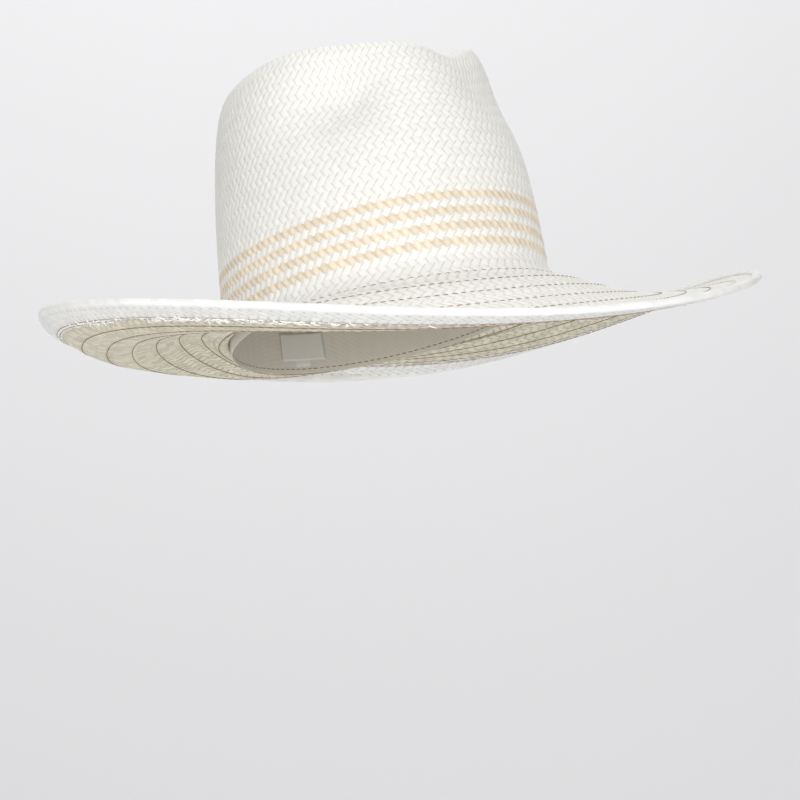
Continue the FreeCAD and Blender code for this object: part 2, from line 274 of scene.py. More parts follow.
class Brim:
    """The brim's surface for one set of directions."""

    def __init__(self, a):
        self.x, self.y, self.nx, self.ny = opening(a)
        rows = [around(row, a) for row in BRIM_HEIGHTS]
        step = BRIM_WIDTH / BRIM_STEPS
        heights = []
        for i in range(BRIM_STEPS + 4):
            share = i / BRIM_STEPS
            z = 0.0
            for place, row in zip(BRIM_SHARES[1:], rows):
                for other in BRIM_SHARES:
                    if other != place:
                        row = row * (share - other) / (place - other)
                z = z + row
            heights.append(z)
        self.z = np.stack(heights)
        rise = np.diff(self.z, axis=0)
        run = np.sqrt(np.maximum(step * step - rise * rise, 0.04 * step * step))
        self.reach = np.concatenate([0 * self.z[:1], np.cumsum(run, 0)])

    def at(self, s):
        """Points at a distance out along the straw."""
        place = s / BRIM_WIDTH * BRIM_STEPS
        i = min(int(place), BRIM_STEPS + 1)
        t = place - i
        w = (1 - t * (3 - t) / 2, t * (2 - t), t * (t - 1) / 2)
        reach = sum(f * self.reach[i + j] for j, f in enumerate(w)) + BREAK_GAP
        z = sum(f * self.z[i + j] for j, f in enumerate(w))
        return np.stack([self.x + reach * self.nx, self.y + reach * self.ny, z], -1)


def flare(t, a, brim):
    """Points of the curve from the crown's wall (t = 0) out into the brim (t = 1)."""
    x, y, nx, ny = opening(a)
    near = wall_at(BREAK_HEIGHT, a)
    far = brim.at(BREAK_END)
    next_out = brim.at(BREAK_END + 1.0)
    out = [(p[..., 0] - x) * nx + (p[..., 1] - y) * ny for p in (near, far, next_out)]
    line = (
        (out[0], near[..., 2]),
        (out[0], near[..., 2] - BREAK_PULL),
        (out[1] - BREAK_PULL * (out[2] - out[1]),
         far[..., 2] - BREAK_PULL * (next_out[..., 2] - far[..., 2])),
        (out[1], far[..., 2]),
    )
    weights = ((1 - t) ** 3, 3 * t * (1 - t) ** 2, 3 * t * t * (1 - t), t ** 3)
    reach = sum(w * p[0] for w, p in zip(weights, line))
    z = sum(w * p[1] for w, p in zip(weights, line))
    side = ((near[..., 0] - x) * -ny + (near[..., 1] - y) * nx) * (1 - t) ** 2
    return np.stack([x + reach * nx - side * ny, y + reach * ny + side * nx, z], -1)


def even_angles(count):
    """Directions spaced evenly along the opening's oval, from the back round."""
    fine = np.linspace(pi, 3 * pi, 4001)
    x, y = opening(fine)[:2]
    length = np.concatenate([[0.0], np.cumsum(np.hypot(np.diff(x), np.diff(y)))])
    return np.interp(np.arange(count) / count * length[-1], length, fine)


def girth(s):
    """Length round the brim at a distance out."""
    return FOOT_GIRTH + GIRTH_RATE * max(s, 0.0)


def normals(grid, sign):
    """Unit normals of a grid of points closed in its second direction."""
    along = np.gradient(grid, axis=0)
    across = np.roll(grid, -1, 1) - np.roll(grid, 1, 1)
    n = np.cross(along, across) * sign
    return n / np.maximum(np.linalg.norm(n, axis=-1, keepdims=True), 1e-9)


row_tables = {}


def weave_row(course, part, fraction, cells, press=0.0):
    """One row of points across a course: relief, how raised the straw lies, and a cell's shade.

    Cells lean one way in one course and the other way in the next, and each dives under its
    neighbour at its upper left. How raised the straw lies is painted as shade in the gaps and
    where a cell dives.
    """
    if course not in row_tables:
        row_tables[course] = rng.uniform(0.0, 1.0, 400)
    shades = row_tables[course]
    lean = SLANT if course % 2 == 0 else -SLANT
    place = fraction * cells + 0.5 * (course % 2) + lean * (part - 0.5)
    cell = np.floor(place).astype(int)
    a = place - cell
    shade = shades[cell % cells % 400]
    across = 1.0 - 0.72 * abs(2 * part - 1) ** 2.2
    along = np.sin(pi * np.clip(a, 0, 1)) ** 0.6
    dive = np.exp(-((a / 0.3) ** 2)) * part
    height = across * along * (0.8 + 0.3 * shade) * (1.0 - 0.35 * dive)
    # The second value, how raised the straw lies and lower where it dives, paints shade in the
    # gaps.
    return height * (1.0 - press), np.clip(along * across ** 0.5 - 0.75 * dive, 0, 1), shade


def zigzag(v, fraction, cells, amount):
    """How far the courses' edges step up and down along the row, in courses."""
    low = int(np.floor(v + 1e-6))
    part = v - low
    edges = []
    for edge in (low, low + 1):
        place = fraction * cells + 0.5 * (edge % 2)
        edges.append(amount * ZIGZAG * (4 * np.abs((place % 1.0) - 0.5) - 1.0))
    return edges[0] * (1 - part) + edges[1] * part


def mesh_object(name, points, faces, weave=None):
    """A smooth mesh. The weave attribute's Y (how raised the straw lies) paints shade in the gaps;
    Z is each cell's shade.
    """
    mesh = bpy.data.meshes.new(name)
    mesh.from_pydata((np.asarray(points) * MM).tolist(), [], faces)
    mesh.validate()
    mesh.polygons.foreach_set("use_smooth", [True] * len(mesh.polygons))
    if weave is not None:
        data = mesh.attributes.new("weave", "FLOAT_VECTOR", "POINT")
        data.data.foreach_set("vector", np.asarray(weave, np.float32).ravel())
    piece = bpy.data.objects.new(name, mesh)
    bpy.context.scene.collection.objects.link(piece)
    return piece


def crease(mesh, rings):
    """Keep the edges along some rings of vertices sharp, so that light doesn't bleed round them."""
    marked = np.zeros(len(mesh.vertices), int)
    for number, ring in enumerate(rings, 1):
        marked[ring] = number
    ends = np.empty(2 * len(mesh.edges), int)
    mesh.edges.foreach_get("vertices", ends)
    one, two = marked[ends].reshape(-1, 2).T
    mesh.edges.foreach_set("use_edge_sharp", ((one > 0) & (one == two)).tolist())


def grid_faces(rows, columns, first=0, flip=False):
    """Quads of a grid closed in its second direction."""
    i, j = np.meshgrid(np.arange(rows - 1), np.arange(columns), indexing="ij")
    a = first + i * columns + j
    b = first + i * columns + (j + 1) % columns
    quads = np.stack([a, b, b + columns, a + columns], -1).reshape(-1, 4)
    return (quads[:, ::-1] if flip else quads).tolist()


def bridge(outer, inner, ratio, flip):
    """Faces between a ring and a coarser one, each given as vertex numbers."""
    faces = []
    count = len(inner)
    for j in range(count):
        here, there = inner[j], inner[(j + 1) % count]
        run = [outer[(ratio * j + i) % len(outer)] for i in range(ratio + 1)]
        half = ratio // 2
        for i in range(ratio):
            faces.append((run[i], run[i + 1], here if i < half else there))
        faces.append((run[half], there, here))
    return [face[::-1] for face in faces] if flip else faces


def closed_sheet(name, outer, inner, ratio, look, flip=False, poles=None, inner_look=None):
    """A closed sheet from a fine outer grid and one with ratio times fewer columns inside it."""
    rows, columns = outer.shape[:2]
    irows, icolumns = inner.shape[:2]
    points = np.concatenate([outer.reshape(-1, 3), inner.reshape(-1, 3)])
    base = rows * columns
    faces = grid_faces(rows, columns, 0, flip)
    faces += grid_faces(irows, icolumns, base, not flip)
    low_out = list(range(columns))
    low_in = list(range(base, base + icolumns))
    faces += bridge(low_out, low_in, ratio, not flip)
    top_out = list(range((rows - 1) * columns, rows * columns))
    top_in = list(range(base + (irows - 1) * icolumns, base + irows * icolumns))
    if poles is None:
        faces += bridge(top_out, top_in, ratio, flip)
    else:
        tip = len(points)
        faces += [(top_out[j], top_out[(j + 1) % columns], tip)[::-1 if flip else 1]
                  for j in range(columns)]
        faces += [(top_in[j], top_in[(j + 1) % icolumns], tip + 1)[::1 if flip else -1]
                  for j in range(icolumns)]
        points = np.concatenate([points, np.array(poles)])
    weave = np.tile([0.0, 1.0, 0.5], (len(points), 1))
    weave[:base] = look.reshape(-1, 3)
    if inner_look is not None:
        weave[base:base + irows * icolumns] = inner_look.reshape(-1, 3)
    piece = mesh_object(name, points, faces, weave)
    crease(piece.data, [low_out, low_in, top_out, top_in])
    return piece


def crown_grid(columns):
    """The crown's surface from the flare's foot to near the tip, resampled by courses."""
    a = even_angles(columns)
    brim = Brim(a)
    fine = [flare(t, a, brim) for t in np.linspace(1.0, 0.0, FLARE_SAMPLES)]
    first_v = (BREAK_HEIGHT - (TAN_TOP - COURSE / 2)) / COURSE
    v = [np.full(columns, -FLARE_COURSES + (first_v + FLARE_COURSES) * i / (FLARE_SAMPLES - 1))
         for i in range(FLARE_SAMPLES)]
    start = BREAK_HEIGHT / crest(a)[2]
    rises = 1.0 - (1.0 - np.linspace(0.0, 1.0, WALL_SAMPLES)[1:]) ** 1.7
    wall_points = np.stack([wall(start, a)] + [wall(start + (1 - start) * r, a) for r in rises])
    arc = np.cumsum(np.linalg.norm(np.diff(wall_points, axis=0), axis=-1), 0)
    share = np.clip((arc - EVEN_FROM) / (arc[-1] - EVEN_FROM), 0, 1)
    arc = arc + (arc[-1].mean() - arc[-1]) * share * share * (3 - 2 * share)
    fine += list(wall_points[1:])
    v += list(first_v + arc / COURSE)
    ks = np.linspace(1.0, TIP, TOP_SAMPLES)
    top_points = np.stack([top(k, a) for k in ks])
    run = np.cumsum(np.linalg.norm(np.diff(top_points, axis=0), axis=-1).mean(-1))
    fine += list(top_points[1:])
    v += [v[-1].mean() + r / COURSE + np.zeros(columns) for r in run]
    fine, v = np.stack(fine), np.stack(v)
    crest_v = v[FLARE_SAMPLES - 1 + len(rises)].mean()
    last = v[-1].min()
    rows = np.arange(0, int((last + FLARE_COURSES) * COURSE_ROWS) + 1) / COURSE_ROWS - FLARE_COURSES
    plain = resampled(np.repeat(rows[:, None], columns, 1), v, fine)
    fraction = np.arange(columns) / columns
    cells = [cells_in(row, crest_v, plain[i]) for i, row in enumerate(rows)]
    steps = np.stack([
        row + zigzag(row, fraction, count, 1.0 if count == CROWN_CELLS else TOP_ZIGZAG)
        for row, count in zip(rows, cells)])
    steps[0] = rows[0]
    return rows, resampled(steps, v, fine), cells


def resampled(steps, v, fine):
    """Points of a finely sampled surface at other places up each of its columns."""
    grid = np.empty((*steps.shape, 3))
    for j in range(steps.shape[1]):
        for axis in range(3):
            grid[:, j, axis] = np.interp(steps[:, j], v[:, j], fine[:, j, axis])
    return grid


def cells_in(row, crest_v, ring):
    """How many cells the course at this row has."""
    if np.floor(row + 1e-6) <= crest_v:
        return CROWN_CELLS
    length = np.linalg.norm(np.roll(ring, -1, 0) - ring, axis=-1).sum()
    return max(FEWEST_CELLS, round(length / TOP_CELL))


def crown():
    """The woven crown in three pieces, recessed for the tan rows, and the tan rows themselves.

    Each crown piece comes with the numbers of its faces outside and inside.
    """
    columns = CROWN_CELLS * CELL_COLUMNS
    rows, grid, cells = crown_grid(columns)
    n = normals(grid, -1.0)
    fraction = np.arange(columns) / columns
    height = np.zeros(grid.shape[:2])
    look = np.zeros(grid.shape)
    for i, v in enumerate(rows):
        course = int(np.floor(v + 1e-6))
        height[i], look[i, :, 1], look[i, :, 2] = weave_row(course, v - course, fraction, cells[i])
    outer = grid + n * (RELIEF * height - CROWN_SINK)[..., None]
    sunk = outer.copy()
    strips = []
    for number, course in enumerate(TAN_COURSES, 1):
        at = [i for i, v in enumerate(rows) if course - 1e-6 <= v <= course + 1 + 1e-6]
        strip = outer[at] + n[at] * 0.1 * height[at][..., None]
        under = grid[at] - n[at] * TAN_SEAT
        under[0] = under[0] * 0.5 + strip[0] * 0.5
        under[-1] = under[-1] * 0.5 + strip[-1] * 0.5
        # The strip's weave values carry the painted shade in the gaps and each cell's shade.
        tint = look[at].copy()
        tint[-1] = tint[-2]
        strips.append((closed_sheet(f"tan_row_{number}", strip, under, 1, tint),
                       f"tan_straw_row_{number}"))
        inside = at[1:-1]
        sunk[inside] = grid[inside] - n[inside] * TAN_SUNK
    inner = grid - n * (STRAW - 0.2 * height[..., None])
    tip = top(0.0, np.zeros(1))[0]
    poles = (tip, tip - np.array([0, 0, STRAW]))
    cuts = [0] + [(course + FLARE_COURSES) * COURSE_ROWS for course in CROWN_CUTS] + [len(rows) - 1]
    pieces = []
    for name, low, high in zip(("crown_foot", "crown_side", "crown_top"), cuts, cuts[1:]):
        back = list(range(low, high, 2)) + [high]
        piece = closed_sheet(name, sunk[low:high + 1], inner[back][:, ::2], 2, look[low:high + 1],
                             poles=poles if high == cuts[-1] else None,
                             inner_look=look[back][:, ::2])
        pieces.append((piece, (high - low) * columns, (len(back) - 1) * (columns // 2)))
    return pieces, strips


def brim_sheet(name, first, last, depth, thickness, sign, press_rows):
    """One ply of the brim, woven on its showing side."""
    a = even_angles(BRIM_COLUMNS)
    brim = Brim(a)
    count = int(round((last - first) / COURSE * COURSE_ROWS)) + 1
    values = np.linspace(first, last, count)
    grid = np.stack([brim.at(s) for s in values])
    n = normals(grid, -1.0)
    n = n * np.where(n[..., 2:].mean() < 0, -1.0, 1.0)
    step = np.linalg.norm(np.roll(grid, -1, 1) - grid, axis=-1)
    walked = np.concatenate([np.zeros((count, 1)), np.cumsum(step, 1)[:, :-1]], 1)
    fraction = walked / step.sum(1)[:, None]
    height = np.zeros(grid.shape[:2])
    look = np.zeros(grid.shape)
    for i, s in enumerate(values):
        v = (s - BREAK_END) / COURSE
        course = int(np.floor(v + 1e-6))
        cells = round(girth(BREAK_END + (course + 0.5) * COURSE) / BRIM_CELL)
        press = max(np.exp(-(((s - row) / 0.9) ** 2)) for row in press_rows)
        height[i], look[i, :, 1], look[i, :, 2] = weave_row(
            course * int(sign) - 100, v - course, fraction[i], cells, 0.75 * press)
    showing = grid - n * depth + n * sign * (RELIEF * 0.8 * height - BRIM_SINK)[..., None]
    kept = [0] + list(range(4, count - 3, 4)) + [count - 1]
    hidden = (grid - n * (depth + sign * thickness))[kept, ::4]
    return closed_sheet(name, showing, hidden, 4, look, flip=sign < 0)


def rows_of_brim():
    """Distances out of the thread rows on the open brim."""
    return [FIRST_ROW + ROW_PITCH * j for j in range(1, ROW_COUNT)]


def hem():
    """The straw rolled over the wire and turned under, with a raw edge."""
    a = even_angles(BRIM_COLUMNS)
    brim = Brim(a)
    lip = BRIM_WIDTH - HEM_LIP
    path = [(lip, 0.25), (lip, -0.35), (lip + 0.8, -0.75)]
    turns = np.linspace(-0.15, pi + 0.1, 17)
    path += [(BRIM_WIDTH - ROLL_RADIUS + ROLL_RADIUS * sin(t), ROLL_CENTRE - ROLL_RADIUS * cos(t))
             for t in turns]
    first_under = len(path)
    under = np.linspace(BRIM_WIDTH - ROLL_RADIUS - 1.6, BRIM_WIDTH - HEM_WIDTH, 15)
    path += [(s, UNDER_BRIM + HEM_PLY) for s in under]
    path += [(BRIM_WIDTH - HEM_WIDTH, UNDER_BRIM + 0.1)]
    middles, ups = [], []
    for s, depth in path:
        here, ahead = brim.at(s - NEAR), brim.at(s + NEAR)
        mid = (here + ahead) / 2
        side = np.roll(mid, -1, 0) - np.roll(mid, 1, 0)
        middles.append(mid)
        ups.append(upward(unit(np.cross(ahead - here, side))))
    grid = np.stack([mid - n * depth for mid, n, (s, depth) in zip(middles, ups, path)])
    out = normals(grid, 1.0)
    on_roll = 8
    centre = brim.at(BRIM_WIDTH - ROLL_RADIUS) - ups[on_roll] * ROLL_CENTRE
    if ((grid[on_roll] - centre) * out[on_roll]).sum() < 0:
        out = -out
    count = len(path)
    fraction = np.arange(BRIM_COLUMNS) / BRIM_COLUMNS
    height = np.zeros(grid.shape[:2])
    look = np.zeros(grid.shape)
    look[..., 2] = 0.5
    length = np.concatenate([[0.0], np.cumsum(np.hypot(*np.diff(np.array(path), axis=0).T))])
    for i in range(1, count - 1):
        v = length[i] / COURSE
        course = int(np.floor(v))
        height[i], look[i, :, 1], look[i, :, 2] = weave_row(
            course - 300, v - course, fraction, HEM_CELLS)
        # On the roll the weave is flatter and its gaps get less painted shade.
        if i < first_under:
            height[i] *= 0.3
            look[i, :, 1] = 0.55 + 0.45 * look[i, :, 1]
        else:
            pulled = max(np.exp(-(((path[i][0] - (BRIM_WIDTH - row)) / 0.8) ** 2))
                         for row in HEM_ROWS)
            height[i] *= 0.75 * (1 - 0.8 * pulled)
    wobble = sum(0.12 * np.sin(2 * pi * fraction * k + p)
                 for k, p in ((23, 1.0), (61, 2.2), (97, 0.3)))
    lift = RELIEF * 0.7 * height + 0.35 * np.abs(wobble)[None, :] * (height > 0)
    grid = grid + out * lift[..., None]
    raw = 0.5 * np.sin(2 * pi * fraction * 141) + 0.4 * np.sin(2 * pi * fraction * 67 + 1)
    inward = unit(middles[count - 2] - middles[count - 3])
    grid[-2:] = grid[-2:] + inward * raw[None, :, None]
    faces = grid_faces(count, BRIM_COLUMNS) + closing_faces(count, BRIM_COLUMNS)
    return mesh_object("hem_straw", grid.reshape(-1, 3), faces, look.reshape(-1, 3))


def closing_faces(rows, columns):
    """Faces from a closed grid's last row back to its first."""
    last = (rows - 1) * columns
    return [(last + j, last + (j + 1) % columns, (j + 1) % columns, j) for j in range(columns)]


def frame_at(s, depth, a):
    """Points on the brim at a distance and depth, with unit directions out, sideways and up."""
    brim = Brim(a)
    out = unit(brim.at(s + NEAR) - brim.at(s - NEAR))
    side = unit(Brim(a + TURN).at(s) - brim.at(s))
    up = upward(np.cross(out, side))
    return brim.at(s) - up * depth, out, side, up


def capsules(centres, along, up, lengths, radius, sink=0.35):
    """Stitches: short lengths of thread that dip into the straw at both ends."""
    across = unit(np.cross(along, up))
    sides = THREAD_SIDES
    points = []
    for r, size in STITCH_SHAPE:
        middle = centres + along * (lengths * 0.5 * r)[:, None] - up * (sink * abs(r) ** 3)
        for k in range(sides):
            t = 2 * pi * k / sides
            points.append(middle + (across * cos(t) + up * sin(t)) * radius * size)
    points = np.stack(points, 1).reshape(-1, 3)
    per = len(STITCH_SHAPE) * sides
    faces = []
    for i in range(len(STITCH_SHAPE) - 1):
        for k in range(sides):
            a, b = i * sides + k, i * sides + (k + 1) % sides
            faces.append((a, b, b + sides, a + sides))
    faces.append(tuple(range(sides))[::-1])
    faces.append(tuple(range(per - sides, per)))
    every = [tuple(p * per + f for f in face) for p in range(len(centres)) for face in faces]
    return points, every


def thread_tube(points, up, radius):
    """A closed tube of thread through points."""
    across = unit(np.cross(unit(np.roll(points, -1, 0) - np.roll(points, 1, 0)), up))
    turns = [2 * pi * k / THREAD_SIDES for k in range(THREAD_SIDES)]
    grid = np.stack([points + (across * cos(t) + up * sin(t)) * radius for t in turns], 0)
    faces = grid_faces(*grid.shape[:2]) + closing_faces(*grid.shape[:2])
    return grid.reshape(-1, 3), faces


def merge(parts):
    """Several sets of points and faces as one."""
    points, faces, base = [], [], 0
    for p, f in parts:
        points.append(p)
        faces += [tuple(base + i for i in face) for face in f]
        base += len(p)
    return np.concatenate(points), faces


def stitch_row(name, s, floor_depth, on_flare=False):
    """Dashes of thread on the top of the brim, and a near-unbroken line underneath.

    Gives the piece and how many of its faces are the dashes.
    """
    count = int(round(girth(s) / STITCH_PITCH))
    a = even_angles(count) + rng.uniform(-0.0012, 0.0012, count)
    fine = even_angles(count * 4)
    if on_flare:
        high, up, side = flare_frame(a)
        low, up_low, _ = flare_frame(fine)
        low = low - up_low * (STRAW + 0.5)
    else:
        high, _, side, up = frame_at(s, -TOP_THREAD_RISE, a)
        low, _, _, up_low = frame_at(s, floor_depth + GLUE, fine)
    lengths = STITCH + rng.uniform(-0.5, 0.4, count)
    dashes = capsules(high, side, up, lengths, TOP_THREAD)
    dip = UNDER_THREAD_DIP * (np.cos(np.arange(count * 4) * pi / 2) < -0.5)
    line = thread_tube(low + up_low * dip[:, None], up_low, UNDER_THREAD)
    return mesh_object(name, *merge([dashes, line])), len(dashes[1])


def frayed_ends():
    """Short loose ends of straw along the raw edge of the hem, mostly on the wearer's right."""
    middles = rng.normal(FRAY_MIDDLES[rng.integers(0, len(FRAY_MIDDLES), FRAY_COUNT)], FRAY_SPREAD)
    a = np.radians(np.concatenate([middles, rng.uniform(-180, 180, FRAY_COUNT // 4)]))
    inset = HEM_WIDTH - rng.uniform(-0.4, 3.2, len(a))
    depth = UNDER_BRIM + HEM_PLY + 0.45
    points, out, side, up = frame_at_each(BRIM_WIDTH - inset, depth, a)
    sideways = rng.uniform(-1.3, 1.3, len(a))[:, None]
    outward = rng.uniform(-0.8, 0.8, len(a))[:, None]
    droop = rng.uniform(0.0, 0.35, len(a))[:, None]
    along = unit(side * sideways + out * outward - up * droop)
    lengths = rng.uniform(2.0, 5.0, len(a))
    return mesh_object("hem_frayed_ends", *capsules(points - up * 0.1, along, up, lengths,
                                                    FRAY_RADIUS, sink=-0.25))


def frame_at_each(s, depth, a):
    """As frame_at, with a distance of its own for each direction."""
    rows = [frame_at(place, depth, a[i:i + 1]) for i, place in enumerate(s)]
    return [np.concatenate(parts) for parts in zip(*rows)]


def flare_frame(a):
    """Points of the stitch row on the flare, with unit directions up and sideways."""
    brim = Brim(a)
    middle = flare(FLARE_ROW, a, brim)
    ahead = flare(FLARE_ROW + 0.02, a, brim) - flare(FLARE_ROW - 0.02, a, brim)
    side = unit(flare(FLARE_ROW, a + TURN, Brim(a + TURN)) - middle)
    up = upward(unit(np.cross(ahead, side)))
    return middle + up * FLARE_THREAD_RISE, up, side


def band(name, low, high, depth, thickness):
    """The cloth band inside the crown's foot, thinner at its edges and slightly rippled."""
    a = even_angles(BAND_COLUMNS)
    zs = np.linspace(low, high, BAND_ROWS)
    grid = np.stack([wall_at(z, a) for z in zs])
    n = normals(grid, -1.0)
    wave = BAND_RIPPLE * np.sin(np.arange(BAND_COLUMNS) * 2 * pi * BAND_RIPPLES / BAND_COLUMNS) ** 2
    edge = np.minimum(1.0, 4.0 * np.minimum(zs - low, high - zs) / (high - low) + 0.45)
    outer = grid - n * (depth + 0.5 * thickness * (1 - edge))[:, None, None]
    swell = thickness * (0.5 + 0.5 * edge)[:, None] + wave[None, :] * 0.4
    inner = grid - n * (depth + swell)[..., None]
    return closed_sheet(name, inner, outer, 1, np.zeros(inner.shape), flip=True)


def patch(name, width, low, high, depth, thickness, columns=25, rows=13):
    """A small piece of tape or label on the band at the back."""
    half = width / 2 / OPENING_HALF_WIDTH
    a = np.linspace(pi - half, pi + half, columns)
    zs = np.linspace(low, high, rows)
    grid = np.stack([wall_at(z, a) for z in zs])
    along = np.gradient(grid, axis=0)
    across = np.gradient(grid, axis=1)
    n = unit(np.cross(across, along))
    if n[rows // 2, columns // 2, 1] < 0:
        n = -n
    back = grid - n * depth
    front = grid - n * (depth + thickness)
    points = np.concatenate([back.reshape(-1, 3), front.reshape(-1, 3)])
    size = rows * columns
    faces = []
    for i in range(rows - 1):
        for j in range(columns - 1):
            p = i * columns + j
            q = (p, p + 1, p + columns + 1, p + columns)
            faces.append(q)
            faces.append(tuple(size + k for k in q[::-1]))
    border = list(range(columns))
    border += [i * columns + columns - 1 for i in range(1, rows)]
    border += [(rows - 1) * columns + j for j in range(columns - 2, -1, -1)]
    border += [i * columns for i in range(rows - 2, 0, -1)]
    for k, p in enumerate(border):
        q = border[(k + 1) % len(border)]
        faces.append((p, size + p, size + q, q))
    return mesh_object(name, points, faces)


def nodes_of(name):
    """A new material, its node tree and its shader."""
    material = bpy.data.materials.new(name)
    material.use_nodes = True
    tree = material.node_tree
    return material, tree, tree.nodes["Principled BSDF"]


def node(tree, kind, **values):
    """A new node with some of its properties set."""
    n = tree.nodes.new(kind)
    for key, value in values.items():
        setattr(n, key, value)
    return n


def straw_material(name, light, dark, rough, streak, spread=0.5):
    """Woven straw: painted shade in the gaps, a slight shade for each cell, and fine fibres along
    it.
    """
    material, tree, shader = nodes_of(name)
    link = tree.links.new
    data = node(tree, "ShaderNodeAttribute", attribute_name="weave")
    split = node(tree, "ShaderNodeSeparateXYZ")
    link(data.outputs["Vector"], split.inputs[0])
    # Painted shade: from the dark colour in the gaps to the light colour on the raised straw.
    ramp = node(tree, "ShaderNodeValToRGB")
    ramp.color_ramp.elements[0].position = 0.02
    ramp.color_ramp.elements[0].color = (*dark, 1)
    ramp.color_ramp.elements[1].position = spread
    ramp.color_ramp.elements[1].color = (*light, 1)
    link(split.outputs["Y"], ramp.inputs[0])
    shade = node(tree, "ShaderNodeMapRange")
    shade.inputs["To Min"].default_value = 1.0 - streak
    shade.inputs["To Max"].default_value = 1.0
    link(split.outputs["Z"], shade.inputs["Value"])
    coords = node(tree, "ShaderNodeTexCoord")
    fibre = node(tree, "ShaderNodeTexNoise")
    fibre.inputs["Scale"].default_value = 900.0
    fibre.inputs["Detail"].default_value = 3.0
    link(coords.outputs["Object"], fibre.inputs["Vector"])
    tint = node(tree, "ShaderNodeMapRange")
    tint.inputs["From Min"].default_value = 0.3
    tint.inputs["From Max"].default_value = 0.7
    tint.inputs["To Min"].default_value = 1.0 - streak * 0.7
    tint.inputs["To Max"].default_value = 1.0
    link(fibre.outputs["Fac"], tint.inputs["Value"])
    both = node(tree, "ShaderNodeMath", operation="MULTIPLY")
    link(shade.outputs[0], both.inputs[0])
    link(tint.outputs[0], both.inputs[1])
    mix = node(tree, "ShaderNodeMix", data_type="RGBA", blend_type="MULTIPLY")
    mix.inputs["Factor"].default_value = 1.0
    link(ramp.outputs["Color"], mix.inputs["A"])
    link(both.outputs[0], mix.inputs["B"])
    link(mix.outputs["Result"], shader.inputs["Base Color"])
    rub = node(tree, "ShaderNodeMapRange")
    rub.inputs["To Min"].default_value = rough - 0.08
    rub.inputs["To Max"].default_value = rough + 0.1
    link(fibre.outputs["Fac"], rub.inputs["Value"])
    link(rub.outputs[0], shader.inputs["Roughness"])
    relief = node(tree, "ShaderNodeBump")
    relief.inputs["Strength"].default_value = 0.25
    relief.inputs["Distance"].default_value = 0.0002
    link(fibre.outputs["Fac"], relief.inputs["Height"])
    link(relief.outputs["Normal"], shader.inputs["Normal"])
    shader.inputs["Specular IOR Level"].default_value = 0.35
    shader.inputs["Sheen Weight"].default_value = 0.08
    return material


def thread_material(name, light, dark):
    """Twisted thread or a loose end of straw."""
    material, tree, shader = nodes_of(name)
    link = tree.links.new
    coords = node(tree, "ShaderNodeTexCoord")
    twist = node(tree, "ShaderNodeTexNoise")
    twist.inputs["Scale"].default_value = 1400.0
    link(coords.outputs["Object"], twist.inputs["Vector"])
    ramp = node(tree, "ShaderNodeValToRGB")
    ramp.color_ramp.elements[0].position = 0.3
    ramp.color_ramp.elements[0].color = (*dark, 1)
    ramp.color_ramp.elements[1].position = 0.7
    ramp.color_ramp.elements[1].color = (*light, 1)
    link(twist.outputs["Fac"], ramp.inputs[0])
    link(ramp.outputs["Color"], shader.inputs["Base Color"])
    relief = node(tree, "ShaderNodeBump")
    relief.inputs["Strength"].default_value = 0.4
    relief.inputs["Distance"].default_value = 0.0001
    link(twist.outputs["Fac"], relief.inputs["Height"])
    link(relief.outputs["Normal"], shader.inputs["Normal"])
    shader.inputs["Roughness"].default_value = 0.8
    return material


def cloth_material(name, colour, ribs):
    """Ribbed ribbon or fine tape."""
    material, tree, shader = nodes_of(name)
    link = tree.links.new
    coords = node(tree, "ShaderNodeTexCoord")
    rib = node(tree, "ShaderNodeTexWave", wave_type="BANDS", bands_direction="Z")
    rib.inputs["Scale"].default_value = ribs
    rib.inputs["Distortion"].default_value = 0.6
    rib.inputs["Detail"].default_value = 2.0
    link(coords.outputs["Object"], rib.inputs["Vector"])
    ramp = node(tree, "ShaderNodeValToRGB")
    ramp.color_ramp.elements[0].color = (*[0.78 * c for c in colour], 1)
    ramp.color_ramp.elements[1].color = (*colour, 1)
    link(rib.outputs["Fac"], ramp.inputs[0])
    link(ramp.outputs["Color"], shader.inputs["Base Color"])
    relief = node(tree, "ShaderNodeBump")
    relief.inputs["Strength"].default_value = 0.5
    relief.inputs["Distance"].default_value = 0.0003
    link(rib.outputs["Fac"], relief.inputs["Height"])
    link(relief.outputs["Normal"], shader.inputs["Normal"])
    shader.inputs["Roughness"].default_value = 0.85
    shader.inputs["Sheen Weight"].default_value = 0.2
    return material


def wire_material():
    """Drawn steel wire."""
    material, tree, shader = nodes_of("spring_wire")
    link = tree.links.new
    noise = node(tree, "ShaderNodeTexNoise")
    noise.inputs["Scale"].default_value = 300.0
    rub = node(tree, "ShaderNodeMapRange")
    rub.inputs["To Min"].default_value = 0.25
    rub.inputs["To Max"].default_value = 0.45
    link(noise.outputs["Fac"], rub.inputs["Value"])
    link(rub.outputs[0], shader.inputs["Roughness"])
    shader.inputs["Base Color"].default_value = (0.6, 0.6, 0.58, 1)
    shader.inputs["Metallic"].default_value = 1.0
    return material


def place(piece, replaced, slot, material):
    """Give a piece its material and its body, and hide the solids that it stands for; slot is not
    used.
    """
    piece.data.materials.append(material)
    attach(piece, "root")
    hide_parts(*replaced)


# Materials: the colour of the raised straw or thread, then the straw's painted shade in its gaps,
# or the thread's darker fibres.
white = straw_material("straw_white", (0.90, 0.89, 0.855), (0.66, 0.63, 0.53),
                       rough=0.5, streak=0.05)
# A darker, olive copy of the white straw: painted shade for the underside of the brim and the
# inside of the crown.
painted_shade_straw = straw_material("straw_white_painted_shade", (0.88, 0.83, 0.66), (0.42, 0.37, 0.20),
                       rough=0.6, streak=0.24)
